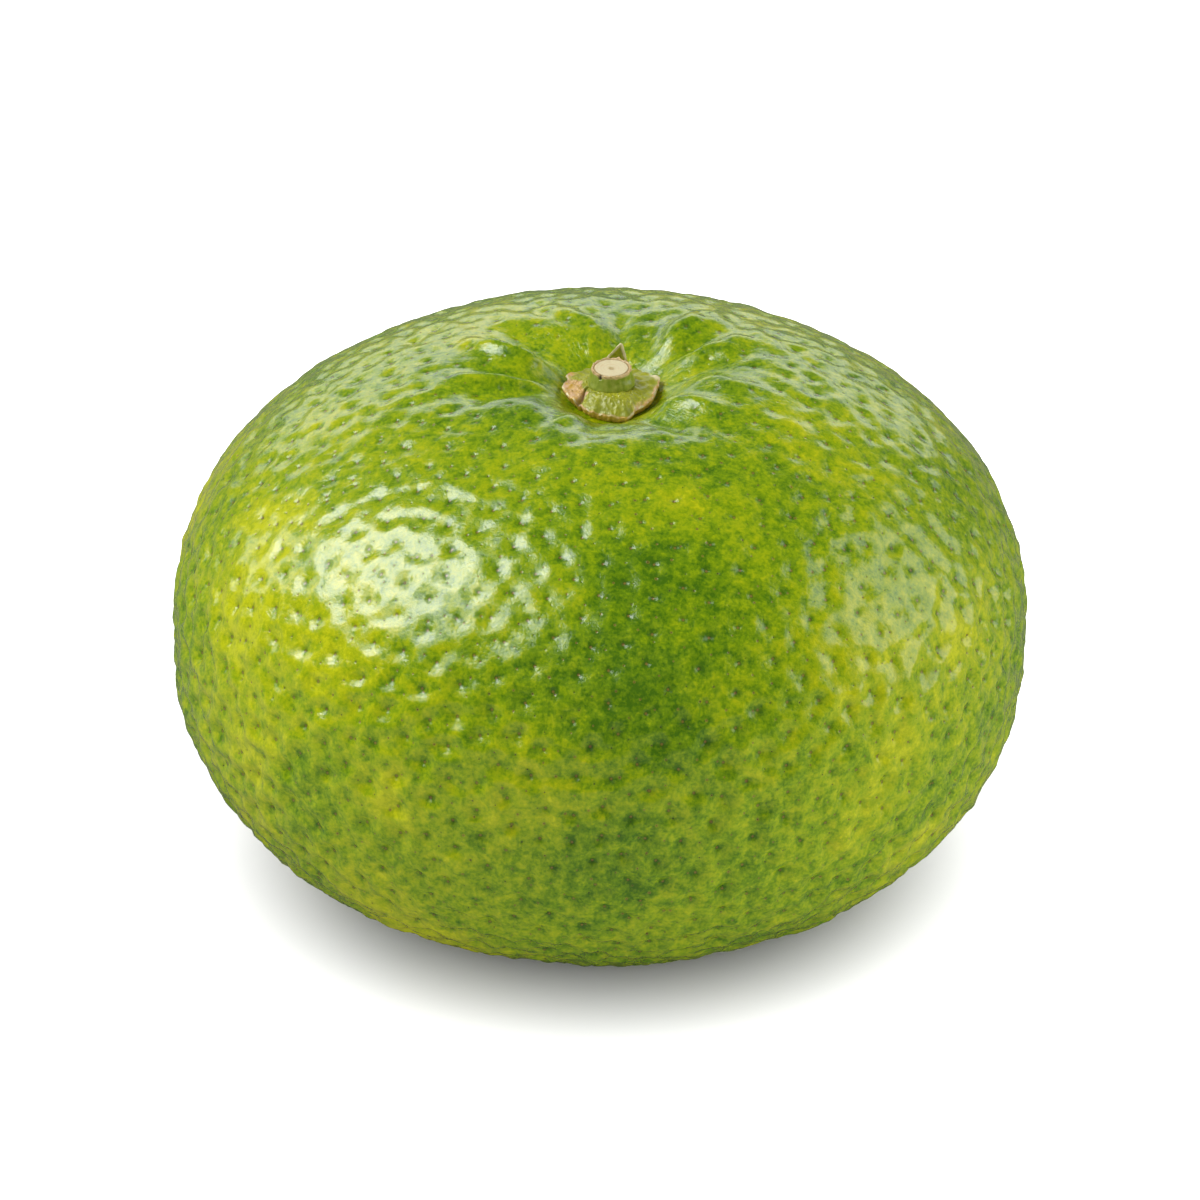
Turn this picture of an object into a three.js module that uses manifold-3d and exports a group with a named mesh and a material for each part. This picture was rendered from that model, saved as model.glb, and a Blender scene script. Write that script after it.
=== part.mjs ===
// A green mandarin, resting on its blossom end.
//
// Three pieces: the fruit, grown as one solid, the five-lobed calyx that lies in the dimple at its
// stem end, and the cut stub of stem that stands in the calyx's eye. Millimetres, +Z up. The origin
// is the middle of the small flat spot that the fruit rests on.

import * as THREE from 'three';
import { mergeVertices } from 'three/addons/utils/BufferGeometryUtils.js';
import Module from 'manifold-3d';

// Driving dimensions of the fruit.
const WIDTH = 65; // across the equator
const CROWN_HEIGHT = 22.1; // from the equator to the crown, before it is dented
const BELLY_HEIGHT = 21.6; // from the equator to the lowest point, before it is flattened
const CROWN_FULLNESS = 2.29; // exponent of the upper half's outline, where 2 is an ellipse
const BELLY_FULLNESS = 2.31; // the same for the lower half
const REST_SPOT_RADIUS = 5.4;

// The dimple at the stem end.
const DIMPLE_DEPTH = 4.1;
const DIMPLE_SPREAD = 6.2; // radius at which the dent has faded to a third
const SEAT_RADIUS = 4.2; // the flat floor of the dimple, under the calyx
const SEAT_DROP = 3.25; // from the undented crown down to that floor
const DIMPLE_RINGS = [4.5, 4.9, 5.5, 6.3, 7.3, 8.6, 10.2];
const STEM_OFFSET = 0.85; // how far the stem end stands to the right of the fruit's middle
const FURROWS = [
  // Each furrow runs out of the dimple at this angle, in degrees from +X.
  { angle: 15, depth: 0.5 },
  { angle: 80, depth: 0.35 },
  { angle: 135, depth: 0.45 },
  { angle: 200, depth: 0.5 },
  { angle: 300, depth: 0.55 },
];
const FURROW_RADIUS = 8; // where a furrow is deepest
const FURROW_REACH = 3.2; // how quickly it fades towards and away from the stem
const FURROW_WIDTH = 13; // half-width in degrees

// Steps around the fruit, and along its outline below and above the equator.
const SECTORS = 64;
const BELLY_STEPS = 13;
const CROWN_STEPS = 11;

// The calyx: a fused disc with five lobes, one of which stands up.
const CALYX_THICKNESS = 0.85;
const CALYX_NECK_RADIUS = 3.1; // between two lobes
const CALYX_EYE_RADIUS = 1.65; // the hole that the stem fills
const CALYX_LOBES = [
  { angle: 18, reach: 3.8 },
  { angle: 85, reach: 3.5 },
  { angle: 155, reach: 3.7 },
  { angle: 228, reach: 3.5 },
  { angle: 288, reach: 3.8 },
];
const CALYX_LOBE_HALF_ANGLE = 36;
const CALYX_OUTLINE_STEPS = 60;
const UPRIGHT_LOBE = { angle: 85, radius: 3, width: 1.8, height: 2.2, thickness: 0.35, lean: 10 };
const UPRIGHT_LOBE_LIFT = 0.05; // keeps its foot just inside the disc

// The stub of stem.
const STEM_TOP_RADIUS = 1.47;
const STEM_FLARE_RADIUS = 1.75;
const STEM_ROOT_RADIUS = 1.3;
const STEM_HEIGHT = 1.6; // above the calyx
const STEM_FLARE_HEIGHT = 0.3; // how far up the flare keeps its width
const STEM_SECTORS = 32;

const GAP = 0.3; // kept between touching pieces

const radius = WIDTH / 2;
const floorToEquator = BELLY_HEIGHT * outlineHeight(REST_SPOT_RADIUS, BELLY_FULLNESS);
const seatHeight = floorToEquator + CROWN_HEIGHT - SEAT_DROP;
const calyxUnderside = seatHeight + GAP;
const calyxTop = calyxUnderside + CALYX_THICKNESS;

// Height of a half outline at a distance from the axis, as a share of its full height.
function outlineHeight(distance, fullness) {
  return (1 - (distance / radius) ** fullness) ** (1 / fullness);
}

// Distance from the axis of a half outline, stepped evenly from its pole (0) to the equator (1).
function outlineDistance(step, fullness) {
  return radius * Math.sin(step * Math.PI / 2) ** (2 / fullness);
}

function crownHeight(distance) {
  const dent = DIMPLE_DEPTH * Math.exp(-((distance / DIMPLE_SPREAD) ** 2));
  return floorToEquator + CROWN_HEIGHT * outlineHeight(distance, CROWN_FULLNESS) - dent;
}

function bellyHeight(distance) {
  return floorToEquator - BELLY_HEIGHT * outlineHeight(distance, BELLY_FULLNESS);
}

// Half the fruit's section, from the rest spot's centre out and up to the dimple's centre.
function fruitProfile() {
  const points = [new THREE.Vector2(0, 0), new THREE.Vector2(REST_SPOT_RADIUS, 0)];
  for (let i = 1; i <= BELLY_STEPS; i += 1) {
    const distance = outlineDistance(i / BELLY_STEPS, BELLY_FULLNESS);
    if (distance > REST_SPOT_RADIUS + GAP) {
      points.push(new THREE.Vector2(distance, bellyHeight(distance)));
    }
  }
  const widestRing = DIMPLE_RINGS[DIMPLE_RINGS.length - 1];
  for (let i = CROWN_STEPS - 1; i > 0; i -= 1) {
    const distance = outlineDistance(i / CROWN_STEPS, CROWN_FULLNESS);
    if (distance > widestRing + 1) {
      points.push(new THREE.Vector2(distance, crownHeight(distance)));
    }
  }
  for (const distance of [...DIMPLE_RINGS].reverse()) {
    points.push(new THREE.Vector2(distance, crownHeight(distance)));
  }
  points.push(new THREE.Vector2(SEAT_RADIUS, seatHeight));
  points.push(new THREE.Vector2(0, seatHeight));
  return points;
}

// Shortest way between two angles, in degrees.
function angleBetween(first, second) {
  const turn = THREE.MathUtils.euclideanModulo(first - second, 360);
  return Math.min(turn, 360 - turn);
}

// How far the furrows sink the skin at a distance and angle from the stem.
function furrowDepth(distance, angle) {
  const along = Math.exp(-(((distance - FURROW_RADIUS) / FURROW_REACH) ** 2));
  let depth = 0;
  for (const furrow of FURROWS) {
    const across = angleBetween(angle, furrow.angle) / FURROW_WIDTH;
    depth += furrow.depth * along * Math.exp(-(across ** 2));
  }
  return depth;
}

// The fruit is turned on its axis, then furrowed around the stem, which is moved to one side.
function makeFruit() {
  const geometry = new THREE.LatheGeometry(fruitProfile(), SECTORS);
  geometry.rotateX(Math.PI / 2);
  const place = geometry.getAttribute('position');
  for (let i = 0; i < place.count; i += 1) {
    const x = place.getX(i);
    const y = place.getY(i);
    const z = place.getZ(i);
    if (z > floorToEquator) {
      const distance = Math.hypot(x, y);
      const angle = THREE.MathUtils.radToDeg(Math.atan2(y, x));
      const sink = distance > SEAT_RADIUS + GAP / 2 ? furrowDepth(distance, angle) : 0;
      const share = 1 - THREE.MathUtils.smoothstep(distance, SEAT_RADIUS, radius);
      place.setXYZ(i, x + STEM_OFFSET * share, y, z - sink);
    }
  }
  return geometry;
}

// Distance of the calyx's edge from its centre: the lobe that reaches furthest decides it.
function calyxReach(angle) {
  let reach = CALYX_NECK_RADIUS;
  for (const lobe of CALYX_LOBES) {
    const share = Math.max(0, 1 - angleBetween(angle, lobe.angle) / CALYX_LOBE_HALF_ANGLE);
    reach = Math.max(reach, CALYX_NECK_RADIUS + (lobe.reach - CALYX_NECK_RADIUS) * share);
  }
  return reach;
}

function calyxOutline() {
  const outline = new THREE.Shape();
  for (let i = 0; i < CALYX_OUTLINE_STEPS; i += 1) {
    const angle = (i / CALYX_OUTLINE_STEPS) * 360;
    const turn = THREE.MathUtils.degToRad(angle);
    const reach = calyxReach(angle);
    if (i === 0) {
      outline.moveTo(reach * Math.cos(turn), reach * Math.sin(turn));
    } else {
      outline.lineTo(reach * Math.cos(turn), reach * Math.sin(turn));
    }
  }
  const eye = new THREE.Path();
  eye.absarc(0, 0, CALYX_EYE_RADIUS, 0, 2 * Math.PI, true);
  outline.holes.push(eye);
  return outline;
}

// The pointed lobe that stands up behind the stem, rooted in the disc's edge.
function makeUprightLobe() {
  const { angle, radius: out, width, height, thickness, lean } = UPRIGHT_LOBE;
  const face = new THREE.Shape();
  face.moveTo(-width / 2, 0);
  face.lineTo(width / 2, 0);
  face.lineTo(width / 2, CALYX_THICKNESS);
  face.lineTo(0, CALYX_THICKNESS + height);
  face.lineTo(-width / 2, CALYX_THICKNESS);
  const geometry = new THREE.ExtrudeGeometry(face, { depth: thickness, bevelEnabled: false });
  geometry.rotateX(Math.PI / 2);
  geometry.rotateX(THREE.MathUtils.degToRad(-lean));
  geometry.translate(0, out, UPRIGHT_LOBE_LIFT);
  geometry.rotateZ(THREE.MathUtils.degToRad(angle - 90));
  return geometry;
}

function asSolid(wasm, geometry) {
  const bare = geometry.clone();
  bare.deleteAttribute('normal');
  bare.deleteAttribute('uv');
  const merged = mergeVertices(bare, 1e-5);
  const mesh = new wasm.Mesh({
    numProp: 3,
    vertProperties: new Float32Array(merged.getAttribute('position').array),
    triVerts: new Uint32Array(merged.getIndex().array),
  });
  return new wasm.Manifold(mesh);
}

function asGeometry(solid) {
  const mesh = solid.getMesh();
  const geometry = new THREE.BufferGeometry();
  geometry.setAttribute('position', new THREE.BufferAttribute(mesh.vertProperties, 3));
  geometry.setIndex(new THREE.BufferAttribute(mesh.triVerts, 1));
  return geometry;
}

function makeCalyx(wasm) {
  const depth = { depth: CALYX_THICKNESS, bevelEnabled: false, curveSegments: STEM_SECTORS };
  const disc = asSolid(wasm, new THREE.ExtrudeGeometry(calyxOutline(), depth));
  const lobe = asSolid(wasm, makeUprightLobe());
  return asGeometry(disc.add(lobe));
}

// The stub fills the calyx's eye, flares where it leaves the disc and narrows to its cut face.
// Its heights are counted from the floor of the dimple.
function makeStemStub() {
  const disc = GAP + CALYX_THICKNESS;
  const outline = [
    [0, GAP],
    [STEM_ROOT_RADIUS, GAP],
    [STEM_ROOT_RADIUS, disc],
    [STEM_FLARE_RADIUS, disc + GAP],
    [STEM_FLARE_RADIUS, disc + STEM_FLARE_HEIGHT + GAP],
    [STEM_TOP_RADIUS, disc + STEM_HEIGHT],
    [0, disc + STEM_HEIGHT],
  ];
  const points = outline.map(([distance, height]) => new THREE.Vector2(distance, height));
  const geometry = new THREE.LatheGeometry(points, STEM_SECTORS);
  geometry.rotateX(Math.PI / 2);
  return geometry;
}

function namedMesh(name, geometry, color, roughness) {
  const material = new THREE.MeshStandardMaterial({ color, roughness, metalness: 0 });
  const mesh = new THREE.Mesh(geometry, material);
  mesh.name = name;
  return mesh;
}

const wasm = await Module();
wasm.setup();

const group = new THREE.Group();
group.add(namedMesh('fruit', makeFruit(), 0x6fa516, 0.35));

const stemEnd = new THREE.Group();
stemEnd.position.set(STEM_OFFSET, 0, 0);
group.add(stemEnd);

const calyx = namedMesh('calyx', makeCalyx(wasm), 0x9a9440, 0.6);
calyx.position.z = calyxUnderside;
stemEnd.add(calyx);

const stemStub = namedMesh('stem_stub', makeStemStub(), 0xd9c79a, 0.55);
stemStub.position.z = seatHeight;
stemEnd.add(stemStub);

export default group;
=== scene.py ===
"""A green mandarin on a pale floor, with its calyx and a cut stub of stem.

The peel is grown by Geometry Nodes: a rounded body, dented and folded at the stem end, into which
thousands of oil glands are pressed. The calyx and the stem are shaped point by point. Everything is
worked out in millimetres and written in metres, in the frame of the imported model.
"""

from __future__ import annotations

import logging
import math
from dataclasses import dataclass, field
from enum import Enum
from typing import Any

import bpy
import numpy as np
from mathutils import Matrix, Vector


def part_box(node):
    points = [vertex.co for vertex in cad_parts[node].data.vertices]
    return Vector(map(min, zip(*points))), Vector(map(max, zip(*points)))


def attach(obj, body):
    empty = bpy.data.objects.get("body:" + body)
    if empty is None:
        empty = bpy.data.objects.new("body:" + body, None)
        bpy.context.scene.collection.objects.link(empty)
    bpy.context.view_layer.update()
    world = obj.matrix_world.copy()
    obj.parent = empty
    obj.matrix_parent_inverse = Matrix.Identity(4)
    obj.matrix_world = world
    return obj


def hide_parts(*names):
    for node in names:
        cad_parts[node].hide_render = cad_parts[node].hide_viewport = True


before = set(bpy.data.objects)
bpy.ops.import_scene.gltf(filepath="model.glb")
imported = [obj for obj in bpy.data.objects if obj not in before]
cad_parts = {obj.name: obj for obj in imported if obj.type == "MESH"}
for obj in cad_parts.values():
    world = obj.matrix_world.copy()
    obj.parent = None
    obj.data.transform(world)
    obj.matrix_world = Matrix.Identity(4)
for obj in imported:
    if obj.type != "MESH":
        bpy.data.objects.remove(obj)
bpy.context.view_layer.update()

LOG = logging.getLogger("mandarin")
METRES = 0.001  # one millimetre
STEM_OFFSET = 0.85  # how far to the right of the fruit's middle the stem stands, in millimetres

Colour = tuple[float, float, float]


# ---------------------------------------------------------------------------------------------
# Laying nodes
# ---------------------------------------------------------------------------------------------


class Field:
    """A value that a node tree works out at every point, with arithmetic to combine it."""

    def __init__(self, bench: "Bench", socket: bpy.types.NodeSocket) -> None:
        """Hold one output socket of the bench's tree."""
        self.bench = bench
        self.socket = socket

    def __add__(self, other: "Field | float") -> "Field":
        """Add."""
        return self.bench.math("ADD", self, other)

    def __radd__(self, other: float) -> "Field":
        """Add a number on the left."""
        return self.bench.math("ADD", other, self)

    def __sub__(self, other: "Field | float") -> "Field":
        """Take away."""
        return self.bench.math("SUBTRACT", self, other)

    def __rsub__(self, other: float) -> "Field":
        """Take this away from a number."""
        return self.bench.math("SUBTRACT", other, self)

    def __mul__(self, other: "Field | float") -> "Field":
        """Multiply."""
        return self.bench.math("MULTIPLY", self, other)

    def __truediv__(self, other: "Field | float") -> "Field":
        """Divide."""
        return self.bench.math("DIVIDE", self, other)

    def __rtruediv__(self, other: float) -> "Field":
        """Divide a number by this."""
        return self.bench.math("DIVIDE", other, self)

    def __pow__(self, other: "Field | float") -> "Field":
        """Raise to a power."""
        return self.bench.math("POWER", self, other)


class Bench:
    """Lays nodes in one tree, of either kind."""

    def __init__(self, tree: bpy.types.NodeTree) -> None:
        """Work in the given tree."""
        self.tree = tree

    def lay(self, kind: str, inputs: dict[Any, Any] | None = None, **settings: Any) -> bpy.types.Node:
        """Add one node.

        Args:
            kind: The node's type name.
            inputs: Values or fields for its inputs, by name or number.
            settings: Properties of the node itself.

        Returns:
            The new node.
        """
        node = self.tree.nodes.new(kind)
        for name, value in settings.items():
            setattr(node, name, value)
        for key, value in (inputs or {}).items():
            if isinstance(value, Field):
                self.tree.links.new(value.socket, node.inputs[key])
            elif value is not None:
                node.inputs[key].default_value = value
        return node

    def field(self, kind: str, inputs: dict[Any, Any] | None = None, out: Any = 0, **settings: Any) -> Field:
        """Add one node, as lay does, and return one of its outputs as a field."""
        return Field(self, self.lay(kind, inputs, **settings).outputs[out])

    def math(self, work: str, *values: "Field | float") -> Field:
        """Combine numbers."""
        return self.field("ShaderNodeMath", dict(enumerate(values)), operation=work)

    def vector(self, work: str, *values: Any, out: Any = 0) -> Field:
        """Combine vectors."""
        return self.field("ShaderNodeVectorMath", dict(enumerate(values)), out, operation=work)

    def scaled(self, vector: Field, factor: "Field | float") -> Field:
        """Stretch a vector by one factor."""
        return self.field("ShaderNodeVectorMath", {0: vector, "Scale": factor}, operation="SCALE")

    def length(self, vector: Field) -> Field:
        """Return a vector's length."""
        return self.vector("LENGTH", vector, out="Value")

    def parts(self, vector: Field) -> tuple[Field, Field, Field]:
        """Split a vector into its three parts."""
        node = self.lay("ShaderNodeSeparateXYZ", {0: vector})
        return Field(self, node.outputs[0]), Field(self, node.outputs[1]), Field(self, node.outputs[2])

    def joined(self, x: "Field | float", y: "Field | float", z: "Field | float") -> Field:
        """Join three numbers into a vector."""
        return self.field("ShaderNodeCombineXYZ", {0: x, 1: y, 2: z})

    def bell(self, value: Field, width: "Field | float") -> Field:
        """Return a bell curve: 1 where the value is nought, a third of that at the width."""
        share = value / width
        return self.math("EXPONENT", 0.0 - share * share)

    def rise(self, value: Field, low: "Field | float", high: "Field | float",
             start: float = 0.0, end: float = 1.0) -> Field:
        """Go smoothly from one number to another as a value rises.

        Args:
            value: The value that rises.
            low: Where the change starts.
            high: Where it ends.
            start: The result at and below low.
            end: The result at and above high.

        Returns:
            The number between start and end.
        """
        inputs = {0: value, 1: low, 2: high, 3: start, 4: end}
        return self.field("ShaderNodeMapRange", inputs, interpolation_type="SMOOTHSTEP")

    def noise(self, place: Field, size: float, detail: float = 2.0, rough: float = 0.5) -> Field:
        """Return noise about nought, from about -1 to 1.

        Args:
            place: Where it is read.
            size: About how large its lumps are.
            detail: How many finer layers are added.
            rough: How strong each finer layer is.

        Returns:
            The noise.
        """
        inputs = {"Vector": place, "Scale": 1.0 / size, "Detail": detail, "Roughness": rough}
        return self.field("ShaderNodeTexNoise", inputs, "Fac") * 2.0 - 1.0

    def rays(self, turn: Field, out: Field) -> Field:
        """Return a place in a space where noise runs out from the stem in streaks.

        Args:
            turn: The angle about the stem.
            out: The distance from the stem.

        Returns:
            The place.
        """
        return self.joined(self.math("COSINE", turn) * 5.0, self.math("SINE", turn) * 5.0,
                           self.math("LOGARITHM", out + 1.0, math.e) * 1.6)


# ---------------------------------------------------------------------------------------------
# Shared surface effects
# ---------------------------------------------------------------------------------------------


class Effect:
    """Shader node groups that more than one finish uses, each built once."""

    @staticmethod
    def mottle() -> bpy.types.NodeTree:
        """Return the group that blotches a tone: coarse clouds, fine grain and specks."""
        name = "Mottle"
        if name in bpy.data.node_groups:
            return bpy.data.node_groups[name]
        tree = bpy.data.node_groups.new(name, "ShaderNodeTree")
        face = tree.interface
        face.new_socket(name="Place", in_out="INPUT", socket_type="NodeSocketVector")
        for label, value in (("Cloud", 0.3), ("Grain", 0.3), ("Speck", 0.2)):
            face.new_socket(name=label, in_out="INPUT", socket_type="NodeSocketFloat").default_value = value
        face.new_socket(name="Tone", in_out="OUTPUT", socket_type="NodeSocketFloat")
        face.new_socket(name="Height", in_out="OUTPUT", socket_type="NodeSocketFloat")
        bench = Bench(tree)
        given = bench.lay("NodeGroupInput")
        place, cloud, grain, speck = (Field(bench, given.outputs[i]) for i in range(4))
        clouds = bench.noise(place, 3.0, 3.0)
        grains = bench.noise(place, 0.85, 3.0, 0.6)
        specks = bench.noise(place, 0.25, 2.0, 0.6)
        result = bench.lay("NodeGroupOutput")
        tone = clouds * cloud + grains * grain + specks * speck
        height = grains * 0.6 + specks * 0.4
        tree.links.new(tone.socket, result.inputs["Tone"])
        tree.links.new(height.socket, result.inputs["Height"])
        return tree


class Dresser:
    """Starts a material for a finish and holds what every finish needs."""

    def __init__(self, name: str) -> None:
        """Make a material with one Principled BSDF, and read places in millimetres.

        Args:
            name: The material's name.
        """
        self.material = bpy.data.materials.new(name)
        self.material.use_nodes = True
        tree = self.material.node_tree
        tree.nodes.clear()
        self.bench = Bench(tree)
        self.shader = self.bench.lay("ShaderNodeBsdfPrincipled")
        surface = self.bench.lay("ShaderNodeOutputMaterial")
        tree.links.new(self.shader.outputs[0], surface.inputs["Surface"])
        place = self.bench.field("ShaderNodeTexCoord", out="Object")
        self.place = self.bench.scaled(place, 1.0 / METRES)

    def set(self, socket: str, value: Any) -> None:
        """Give the shader a constant, or a field that changes over the surface.

        Args:
            socket: The shader's input.
            value: The constant or the field.
        """
        if isinstance(value, Field):
            self.bench.tree.links.new(value.socket, self.shader.inputs[socket])
        else:
            self.shader.inputs[socket].default_value = value

    def mask(self, name: str) -> Field:
        """Read a number that the piece's mesh holds."""
        return self.bench.field("ShaderNodeAttribute", out="Fac", attribute_name=name)

    def arrow(self, name: str) -> Field:
        """Read a vector that the piece's mesh holds."""
        return self.bench.field("ShaderNodeAttribute", out="Vector", attribute_name=name)

    def mottle(self, cloud: float, grain: float, speck: float) -> tuple[Field, Field]:
        """Place the mottle effect.

        Args:
            cloud: How strong its broad clouds are.
            grain: How strong its fine grain is.
            speck: How strong its specks are.

        Returns:
            Its tone and its height.
        """
        node = self.bench.lay("ShaderNodeGroup", node_tree=Effect.mottle())
        self.bench.tree.links.new(self.place.socket, node.inputs["Place"])
        node.inputs["Cloud"].default_value = cloud
        node.inputs["Grain"].default_value = grain
        node.inputs["Speck"].default_value = speck
        return Field(self.bench, node.outputs["Tone"]), Field(self.bench, node.outputs["Height"])

    def ramp(self, tone: Field, stops: tuple[tuple[float, Colour], ...]) -> Field:
        """Turn a tone into a colour by way of a few stops.

        Args:
            tone: The tone, from 0 to 1.
            stops: The tones that have a colour of their own, and their colours.

        Returns:
            The colour.
        """
        node = self.bench.lay("ShaderNodeValToRGB", {0: tone})
        steps = node.color_ramp.elements
        while len(steps) < len(stops):
            steps.new(1.0)
        for step, (place, colour) in zip(steps, stops, strict=True):
            step.position = place
        for step, (place, colour) in zip(steps, stops, strict=True):
            step.color = (*colour, 1.0)
        return Field(self.bench, node.outputs["Color"])

    def blend(self, amount: "Field | float", first: Any, second: Any) -> Field:
        """Mix two colours.

        Args:
            amount: How much of the second there is.
            first: A colour, or a field of them.
            second: Another.

        Returns:
            The mixed colour.
        """
        node = self.bench.lay("ShaderNodeMix", data_type="RGBA")
        for key, value in ((0, amount), (6, first), (7, second)):
            if isinstance(value, Field):
                self.bench.tree.links.new(value.socket, node.inputs[key])
            else:
                node.inputs[key].default_value = value if key == 0 else (*value, 1.0)
        return Field(self.bench, node.outputs[2])

    def bump(self, height: Field) -> None:
        """Raise the surface by a height in millimetres."""
        inputs = {"Height": height, "Distance": METRES, "Strength": 1.0}
        self.set("Normal", self.bench.field("ShaderNodeBump", inputs))


# ---------------------------------------------------------------------------------------------
# Finishes
# ---------------------------------------------------------------------------------------------


@dataclass(frozen=True)
class WaxyPeel:
    """Glossy green citrus peel: mottled green to yellow, darker and dotted at each gland."""

    stops: tuple[tuple[float, Colour], ...] = (
        (0.0, (0.058, 0.150, 0.001)),
        (0.3, (0.148, 0.266, 0.001)),
        (0.55, (0.265, 0.370, 0.001)),
        (0.8, (0.390, 0.445, 0.002)),
        (1.0, (0.500, 0.535, 0.004)),
    )
    dot: Colour = (0.30, 0.20, 0.03)
    pore: Colour = (0.05, 0.055, 0.012)
    shine: float = 0.20
    gloss: float = 0.47
    wax: float = 0.32
    wax_shine: float = 0.11
    clouds: float = 0.20  # how strongly the tone drifts
    grains: float = 0.62  # how strongly it is mottled
    specks: float = 0.46  # how strongly it is speckled
    streaks_and_sheen: float = 0.42  # how strongly the tone is streaked out from the stem: partly real streaks, partly a painted sheen on the ridges
    lightness: float = 0.05
    well_shade: float = 0.17  # how much greener the peel is round a well

    def dress(self) -> bpy.types.Material:
        """Make the material."""
        d = Dresser("waxy_peel")
        b = d.bench
        away = b.length(d.arrow("gland"))
        reach = d.mask("gland_reach")
        tint = d.mask("gland_tint")
        halo = b.rise(away, 0.12, 0.72, 1.0, 0.0)
        dot = b.rise(away / reach, 0.28, 0.55, 1.0, 0.0) * b.rise(tint, 0.15, 0.5)
        pore = b.rise(away / reach, 0.10, 0.30, 1.0, 0.0) * b.rise(tint, 0.2, 0.9, 0.9, 0.35)
        well = b.length(d.arrow("well"))
        tone, height = d.mottle(self.clouds, self.grains, self.specks)
        ripeness = d.mask("ripeness") + self.lightness
        x, y, z = b.parts(d.place)
        out = b.math("SQRT", (x - STEM_OFFSET) ** 2.0 + y * y)
        turn = b.math("ARCTAN2", y, x - STEM_OFFSET)
        near = b.bell(out - 8.0, 6.5) * b.rise(z, 30.0, 36.0)
        # Pale streaks out from the stem, in tone and bump; the lighter tone is partly a painted sheen on the
        # ridges
        streak = b.noise(b.rays(turn, out), 0.36, 4.0, 0.6) * near
        clear = b.rise(out, 5.0, 13.0, 0.12, 1.0)
        shade = b.rise(well, 0.12, 0.62, 1.0, 0.0) * clear
        eye = b.rise(well, 0.08, 0.21, 1.0, 0.0) * clear
        dusk = halo * (tint * tint * 0.16 + 0.06) * clear + shade * self.well_shade
        colour = d.ramp(ripeness + tone + streak * self.streaks_and_sheen - dusk, self.stops)
        colour = d.blend(dot * clear * 0.6, colour, self.dot)
        colour = d.blend(pore * clear, colour, self.pore)
        colour = d.blend(eye * 0.65, colour, self.pore)
        colour = d.blend(b.rise(well, 0.05, 0.13, 0.6, 0.0) * clear, colour, self.dot)
        d.set("Base Color", colour)
        d.set("Roughness", self.shine + height * 0.04 + halo * 0.04)
        d.set("Specular IOR Level", self.gloss)
        d.set("Coat Weight", self.wax)
        d.set("Coat Roughness", self.wax_shine)
        funnel = b.rise(away / reach, 0.0, 0.7, -1.0, 0.0) * reach * 0.12
        funnel = funnel + b.rise(well, 0.0, 0.42, -0.08, 0.0)
        d.bump(funnel + height * 0.035 + streak * 0.05)
        return d.material


@dataclass(frozen=True)
class DrySepal:
    """Old sepals: olive green, drying to tan and brown at torn edges, thin and pale at one tip."""

    green: Colour = (0.250, 0.280, 0.020)
    lime: Colour = (0.370, 0.380, 0.015)
    tan: Colour = (0.660, 0.430, 0.270)
    ochre: Colour = (0.560, 0.340, 0.040)
    paper: Colour = (0.700, 0.620, 0.360)
    dark: Colour = (0.060, 0.040, 0.010)
    shine: float = 0.36

    def dress(self) -> bpy.types.Material:
        """Make the material."""
        d = Dresser("dry_sepal")
        b = d.bench
        tone, height = d.mottle(0.5, 0.6, 0.5)
        fresh = d.blend(b.rise(tone, -0.35, 0.35), self.green, self.lime)
        dry = d.blend(b.rise(tone, -0.4, 0.4), self.ochre, self.tan)
        colour = d.blend(b.rise(d.mask("dryness") + tone * 0.35, 0.3, 0.7), fresh, dry)
        colour = d.blend(d.mask("side"), colour, self.ochre)
        # Papery tips and edges; the pale line along the star's edge is partly a painted highlight
        colour = d.blend(b.rise(d.mask("paper"), 0.2, 0.9), colour, self.paper)
        colour = d.blend(d.mask("shade"), colour, self.dark)
        d.set("Base Color", colour)
        d.set("Roughness", self.shine + tone * 0.15)
        d.bump(height * 0.03)
        return d.material


@dataclass(frozen=True)
class CutTwig:
    """A cut green twig: smooth green bark, a ragged tan rim, pale wood and a small pith."""

    bark: Colour = (0.190, 0.260, 0.015)
    bark_light: Colour = (0.340, 0.380, 0.060)
    rim: Colour = (0.600, 0.430, 0.200)
    ring: Colour = (0.350, 0.220, 0.080)
    wood: Colour = (0.660, 0.590, 0.360)
    pith: Colour = (0.480, 0.370, 0.180)
    dark: Colour = (0.040, 0.030, 0.010)
    fibre: float = 0.9  # how strongly the bark is streaked
    growth: float = 25.0  # how closely the wood's rings are set
    wood_shine: float = 0.35  # how much duller the wood is than the bark
    shine: float = 0.28

    def dress(self) -> bpy.types.Material:
        """Make the material."""
        d = Dresser("cut_twig")
        b = d.bench
        tone, height = d.mottle(0.4, 0.5, 0.5)
        x, y, z = b.parts(d.place)
        x = x - STEM_OFFSET
        out = b.math("SQRT", x * x + y * y)
        fibre = b.noise(b.joined(x / out * 1.6, y / out * 1.6, z * 0.35), 0.4, 2.0)
        circle = b.math("SINE", out * self.growth + tone * 2.0)
        bark = d.blend(b.rise(tone + fibre * self.fibre, -0.5, 0.6), self.bark, self.bark_light)
        wood = d.blend(b.rise(tone + circle * 0.25, -0.3, 0.8) * 0.6, self.wood, self.rim)
        colour = d.blend(d.mask("wood"), bark, wood)
        colour = d.blend(d.mask("rim"), colour, self.rim)
        colour = d.blend(d.mask("ring"), colour, self.ring)
        colour = d.blend(d.mask("pith"), colour, self.pith)
        colour = d.blend(d.mask("shade"), colour, self.dark)
        d.set("Base Color", colour)
        d.set("Roughness", self.shine + d.mask("wood") * self.wood_shine)
        d.bump(height * 0.02)
        return d.material


# ---------------------------------------------------------------------------------------------
# Meshes
# ---------------------------------------------------------------------------------------------


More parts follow.
